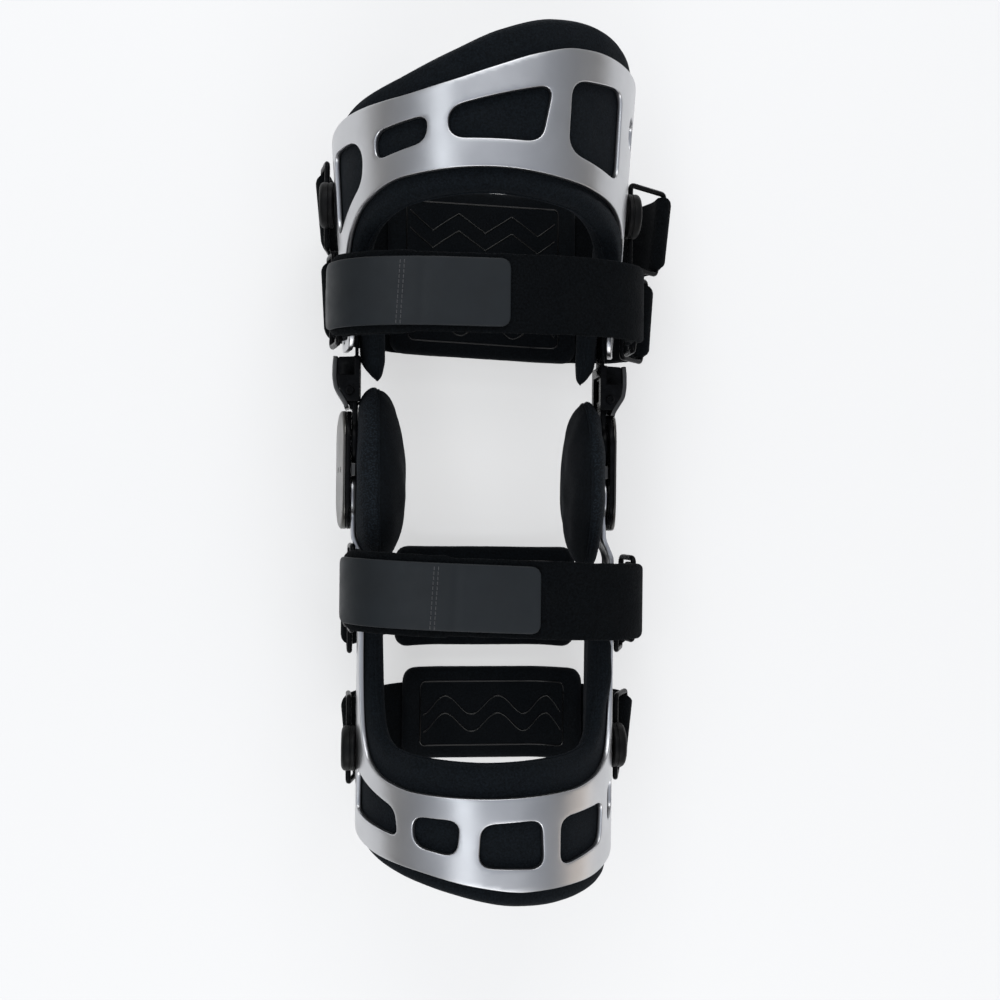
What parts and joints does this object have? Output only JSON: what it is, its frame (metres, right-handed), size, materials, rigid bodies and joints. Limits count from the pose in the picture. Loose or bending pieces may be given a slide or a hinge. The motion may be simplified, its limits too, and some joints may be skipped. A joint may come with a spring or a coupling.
{
  "type": "hinged knee brace",
  "caption": "Rigid-frame knee brace: windowed aluminium thigh and shin cuffs with padded liners, joined by two-pivot side hinges, held on by front and rear straps on wire rings.",
  "frame": {"origin": "middle of the outline, on the surface the brace lies on", "axes": "+X across the knee to the outer side of the leg, +Y up the leg to the thigh end, +Z to the front of the knee"},
  "size_m": [0.1818, 0.4068, 0.134],
  "materials": {
    "aluminium": "satin",
    "steel": "bright, turned",
    "gunmetal": "glossy gunmetal",
    "black_metal": "black gloss",
    "black_plastic": "moulded, matte",
    "liner_fabric": "brushed loop cloth over foam",
    "strap_fabric": "loop-faced webbing",
    "slate_rubber": "matte coated tab with stitching"
  },
  "bodies": {
    "thigh": {"thigh_cuff": "aluminium", "thigh_liner": "liner_fabric", "thigh_strap_front": "strap_fabric", "thigh_strap_front_tab": "slate_rubber", "thigh_strap_upper": "strap_fabric", "thigh_pad_upper": "liner_fabric", "thigh_strap_lower": "strap_fabric", "thigh_pad_lower": "liner_fabric", "thigh_button_upper_left": "black_plastic", "thigh_button_upper_right": "black_plastic", "thigh_button_lower_left": "black_plastic", "thigh_button_lower_right": "black_plastic", "thigh_ring_upper_left": "black_metal", "thigh_ring_upper_right": "black_metal", "thigh_ring_front_left": "black_metal", "thigh_ring_front_right": "black_metal", "thigh_ring_lower_left": "black_metal", "thigh_ring_lower_right": "black_metal", "thigh_arm_left": "black_metal", "thigh_arm_right": "black_metal", "clevis_left": "black_metal", "clevis_right": "black_metal", "clevis_screw_left": "steel", "clevis_screw_right": "steel"},
    "hinge_left": {"hinge_cover_left": "gunmetal", "hinge_body_left": "black_metal", "hinge_pin_upper_left": "steel", "hinge_pin_lower_left": "steel", "condyle_pad_left": "liner_fabric"},
    "hinge_right": {"hinge_cover_right": "gunmetal", "hinge_body_right": "black_metal", "hinge_pin_upper_right": "steel", "hinge_pin_lower_right": "steel", "condyle_pad_right": "liner_fabric"},
    "shin": {"shin_cuff": "aluminium", "shin_liner": "liner_fabric", "shin_strap_front": "strap_fabric", "shin_strap_front_tab": "slate_rubber", "calf_strap_upper": "strap_fabric", "calf_pad_upper": "liner_fabric", "calf_strap_lower": "strap_fabric", "calf_pad_lower": "liner_fabric", "calf_button_upper_left": "black_plastic", "calf_button_upper_right": "black_plastic", "calf_button_lower_left": "black_plastic", "calf_button_lower_right": "black_plastic", "shin_ring_front_left": "black_metal", "shin_ring_front_right": "black_metal", "calf_ring_upper_left": "black_metal", "calf_ring_upper_right": "black_metal", "calf_ring_lower_left": "black_metal", "calf_ring_lower_right": "black_metal"}
  },
  "joints": [
    {"name": "knee_upper_left", "type": "hinge", "parent": "thigh", "child": "hinge_left", "pos_m": [-0.07295, 0.0104, 0.068], "axis": [1, 0, 0], "range_deg": [0, 38]},
    {"name": "knee_lower", "type": "hinge", "parent": "hinge_left", "child": "shin", "pos_m": [-0.07295, -0.0156, 0.068], "axis": [1, 0, 0], "range_deg": [0, 38]},
    {"name": "knee_upper_right", "type": "hinge", "parent": "thigh", "child": "hinge_right", "pos_m": [0.05445, 0.0104, 0.068], "axis": [1, 0, 0], "range_deg": [0, 38]}
  ],
  "couplings": [
    {"joint": "knee_lower", "follows": "knee_upper_left", "ratio": 1},
    {"joint": "knee_upper_right", "follows": "knee_upper_left", "ratio": 1}
  ]
}
